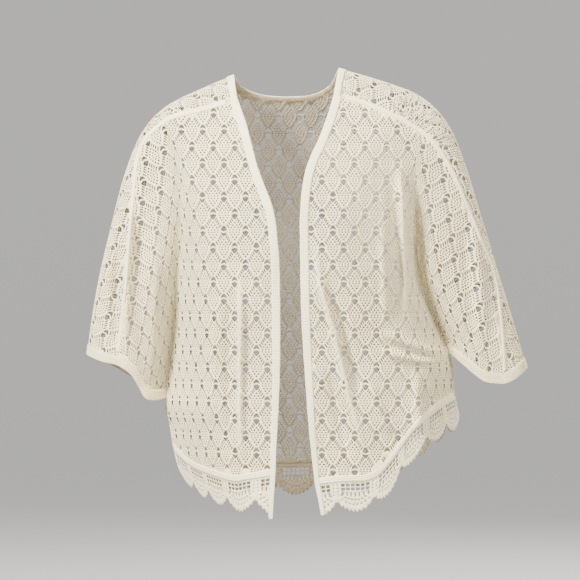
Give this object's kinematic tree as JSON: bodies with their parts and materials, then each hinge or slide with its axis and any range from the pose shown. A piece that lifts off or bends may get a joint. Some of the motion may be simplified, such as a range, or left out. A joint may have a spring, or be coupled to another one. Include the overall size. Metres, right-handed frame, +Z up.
{
  "type": "crochet cardigan",
  "caption": "Cropped open-front crochet lace cardigan in cream, with wide elbow-length sleeves, plain knit bands and a scalloped lace hem, in its worn shape.",
  "frame": {"origin": "middle of the neck opening at shoulder-top height, where the garment is held up", "axes": "+Z up, -Y towards the front opening, +X towards the wearer's left"},
  "size_m": [0.621, 0.2141, 0.6269],
  "materials": {
    "lace": "matte",
    "scallop_trim": "matte",
    "plain_band": "matte"
  },
  "bodies": {
    "root": {"back": "lace", "cuff_left": "plain_band", "cuff_right": "plain_band", "front_band": "plain_band", "front_left": "lace", "front_right": "lace", "hem_back": "plain_band", "hem_front_left": "plain_band", "hem_front_right": "plain_band", "seam_left": "plain_band", "seam_right": "plain_band", "trim_back": "scallop_trim", "trim_front_left": "scallop_trim", "trim_front_right": "scallop_trim"}
  },
  "joints": []
}
